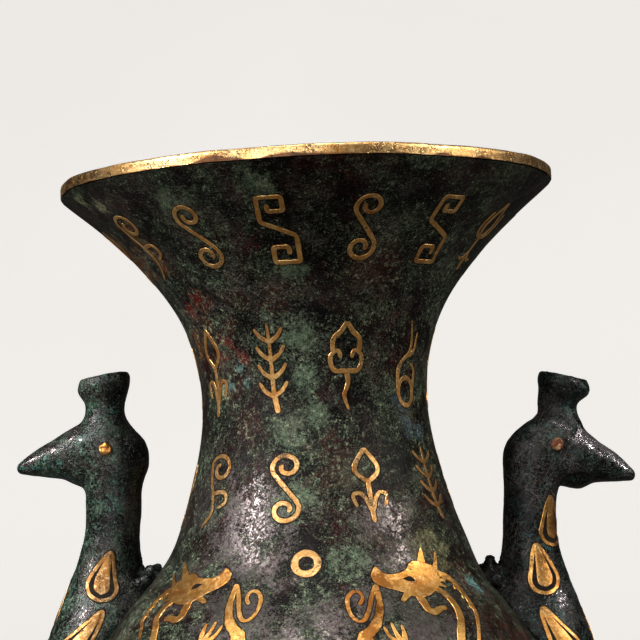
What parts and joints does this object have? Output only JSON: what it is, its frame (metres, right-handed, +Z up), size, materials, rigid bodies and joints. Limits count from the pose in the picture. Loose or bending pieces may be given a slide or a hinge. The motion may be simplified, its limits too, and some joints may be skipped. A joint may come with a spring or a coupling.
{
  "type": "inlaid bronze vase with bird ears",
  "caption": "Bellied bronze vase on a splayed foot, with a flared gilt lip, a standing bird on each shoulder and gold inlaid dragons, feathers and neck ornaments.",
  "frame": {"origin": "centre of the foot's underside, on the surface that the vase stands on", "axes": "+Z up along the body's axis; the front faces -Y; the birds look out along -X and +X"},
  "size_m": [0.1865, 0.185, 0.303],
  "materials": {
    "patinated_bronze": "dark brown-black bronze with green, maroon and turquoise patina, worn half glossy",
    "bird_bronze": "green-black bronze with verdigris and pale worn edges, half glossy",
    "pin_bronze": "dull brown bronze",
    "gilded_lip": "worn gilding, bright on the edge, rubbed through in places",
    "inlaid_gold": "satin gold, flush, pitted and scratched",
    "feather_gold": "satin gold, flush, rubbed bright",
    "eye_gold": "reddish gold, worn"
  },
  "bodies": {
    "root": {"upper_casting": "patinated_bronze", "lower_casting": "patinated_bronze", "foot_ring": "patinated_bronze", "base_plate": "patinated_bronze", "lip_gilding": "gilded_lip", "bird_left_casting": "bird_bronze", "bird_right_casting": "bird_bronze", "bird_left_pin_1": "pin_bronze", "bird_left_pin_2": "pin_bronze", "bird_right_pin_1": "pin_bronze", "bird_right_pin_2": "pin_bronze", "bird_left_eye_wire": "eye_gold", "bird_right_eye_wire": "eye_gold", "bird_left_feathers_front": "feather_gold", "bird_left_feathers_outer": "feather_gold", "bird_left_feathers_back": "feather_gold", "bird_right_feathers_front": "feather_gold", "bird_right_feathers_outer": "feather_gold", "bird_right_feathers_back": "feather_gold", "pearl_ring_front": "inlaid_gold", "pearl_ring_back": "inlaid_gold", "dragon_front_right": "inlaid_gold", "dragon_front_left": "inlaid_gold", "dragon_back_right": "inlaid_gold", "dragon_back_left": "inlaid_gold", "mouth_ornament_01": "inlaid_gold", "mouth_ornament_02": "inlaid_gold", "mouth_ornament_03": "inlaid_gold", "mouth_ornament_04": "inlaid_gold", "mouth_ornament_05": "inlaid_gold", "mouth_ornament_06": "inlaid_gold", "mouth_ornament_07": "inlaid_gold", "mouth_ornament_08": "inlaid_gold", "mouth_ornament_09": "inlaid_gold", "mouth_ornament_10": "inlaid_gold", "mouth_ornament_11": "inlaid_gold", "mouth_ornament_12": "inlaid_gold", "mouth_ornament_13": "inlaid_gold", "mouth_ornament_14": "inlaid_gold", "throat_ornament_01": "inlaid_gold", "throat_ornament_02": "inlaid_gold", "throat_ornament_03": "inlaid_gold", "throat_ornament_04": "inlaid_gold", "throat_ornament_05": "inlaid_gold", "throat_ornament_06": "inlaid_gold", "throat_ornament_07": "inlaid_gold", "throat_ornament_08": "inlaid_gold", "throat_ornament_09": "inlaid_gold", "throat_ornament_10": "inlaid_gold", "collar_ornament_01": "inlaid_gold", "collar_ornament_02": "inlaid_gold", "collar_ornament_03": "inlaid_gold", "collar_ornament_04": "inlaid_gold", "collar_ornament_05": "inlaid_gold", "collar_ornament_06": "inlaid_gold", "collar_ornament_07": "inlaid_gold", "collar_ornament_08": "inlaid_gold", "collar_ornament_09": "inlaid_gold", "collar_ornament_10": "inlaid_gold"}
  },
  "joints": []
}
